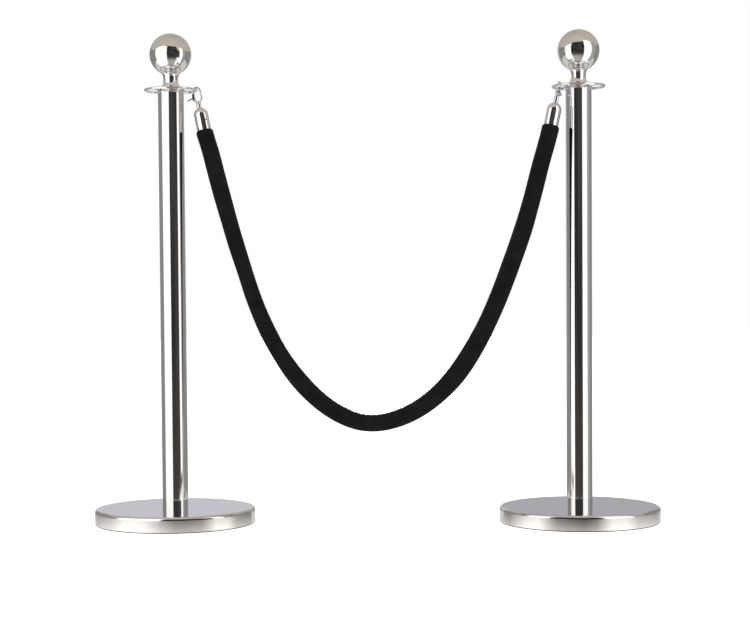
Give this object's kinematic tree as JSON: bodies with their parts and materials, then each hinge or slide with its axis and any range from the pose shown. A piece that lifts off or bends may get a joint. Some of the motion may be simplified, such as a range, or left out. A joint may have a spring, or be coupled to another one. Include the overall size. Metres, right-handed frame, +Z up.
{
  "type": "rope stanchion set",
  "caption": "Pair of ball-top rope stanchions with round weighted bases and ring crowns, joined by one hanging velvet rope with swivel snap hooks.",
  "frame": {"origin": "on the floor, midway between the two post axes", "axes": "+X from the left post to the right post, -Y towards the viewer, +Z up"},
  "size_m": [1.116, 0.316, 0.965],
  "materials": {
    "polished_steel": "polished",
    "chrome_plate": "polished",
    "zinc_steel": "satin",
    "cast_iron": "matte",
    "black_rubber": "matte",
    "black_nylon": "satin",
    "black_velvet": "matte",
    "filler_cord": "matte"
  },
  "bodies": {
    "posts": {"left_base_cover": "polished_steel", "left_base_weight": "cast_iron", "left_floor_ring": "black_rubber", "left_base_bolt": "zinc_steel", "left_base_washer": "zinc_steel", "left_post_tube": "polished_steel", "left_tube_foot_plug": "zinc_steel", "left_tube_head_plug": "zinc_steel", "right_base_cover": "polished_steel", "right_base_weight": "cast_iron", "right_floor_ring": "black_rubber", "right_base_bolt": "zinc_steel", "right_base_washer": "zinc_steel", "right_post_tube": "polished_steel", "right_tube_foot_plug": "zinc_steel", "right_tube_head_plug": "zinc_steel"},
    "left_crown": {"left_crown_ring": "chrome_plate"},
    "left_finial": {"left_crown_washer": "black_nylon", "left_finial_neck": "chrome_plate", "left_finial_ball": "polished_steel", "left_finial_stud": "zinc_steel"},
    "right_crown": {"right_crown_ring": "chrome_plate"},
    "right_finial": {"right_crown_washer": "black_nylon", "right_finial_neck": "chrome_plate", "right_finial_ball": "polished_steel", "right_finial_stud": "zinc_steel"},
    "rope": {"rope_cover": "black_velvet", "rope_core": "filler_cord", "left_rope_cup": "chrome_plate", "left_rope_plug": "filler_cord", "left_cup_screw": "zinc_steel", "left_swivel_stud": "chrome_plate", "left_stud_nut": "zinc_steel", "right_rope_cup": "chrome_plate", "right_rope_plug": "filler_cord", "right_cup_screw": "zinc_steel", "right_swivel_stud": "chrome_plate", "right_stud_nut": "zinc_steel"},
    "left_hook": {"left_hook_body": "chrome_plate", "left_gate_pin": "zinc_steel", "left_gate_spring": "zinc_steel"},
    "left_gate": {"left_hook_gate": "chrome_plate"},
    "right_hook": {"right_hook_body": "chrome_plate", "right_gate_pin": "zinc_steel", "right_gate_spring": "zinc_steel"},
    "right_gate": {"right_hook_gate": "chrome_plate"}
  },
  "joints": [
    {"name": "rope_swing", "type": "hinge", "parent": "posts", "child": "rope", "pos_m": [-0.35178, 0.00004, 0.8588], "axis": [0.9992, -0.0397, 0.0007], "range_deg": [-8, 8]},
    {"name": "left_finial_turn", "type": "hinge", "parent": "posts", "child": "left_finial", "pos_m": [-0.4, 0, 0.9], "axis": [0, 0, 1], "continuous": true},
    {"name": "left_crown_turn", "type": "hinge", "parent": "posts", "child": "left_crown", "pos_m": [-0.4, 0, 0.854], "axis": [0, 0, 1], "range_deg": [-20, 20]},
    {"name": "left_hook_swivel", "type": "hinge", "parent": "rope", "child": "left_hook", "pos_m": [-0.34371, -0.00028, 0.81912], "axis": [-0.1992, 0.0079, 0.9799], "range_deg": [-20, 20]},
    {"name": "left_gate_open", "type": "hinge", "parent": "left_hook", "child": "left_gate", "pos_m": [-0.35424, 0.00014, 0.83483], "axis": [0.0397, 0.9992, 0], "range_deg": [0, 28], "stiffness_Nm_per_rad": 0.02, "springref_deg": -22.92},
    {"name": "right_finial_turn", "type": "hinge", "parent": "posts", "child": "right_finial", "pos_m": [0.4, 0, 0.9], "axis": [0, 0, 1], "continuous": true},
    {"name": "right_crown_turn", "type": "hinge", "parent": "posts", "child": "right_crown", "pos_m": [0.4, 0, 0.854], "axis": [0, 0, 1], "range_deg": [0, 20]},
    {"name": "right_hook_swivel", "type": "hinge", "parent": "rope", "child": "right_hook", "pos_m": [0.3527, -0.02794, 0.81961], "axis": [0.1992, -0.0079, 0.9799], "range_deg": [-30, 3]},
    {"name": "right_gate_open", "type": "hinge", "parent": "right_hook", "child": "right_gate", "pos_m": [0.35921, -0.02157, 0.83619], "axis": [0.8858, -0.4262, -0.1835], "range_deg": [0, 28], "stiffness_Nm_per_rad": 0.02, "springref_deg": -22.92}
  ]
}
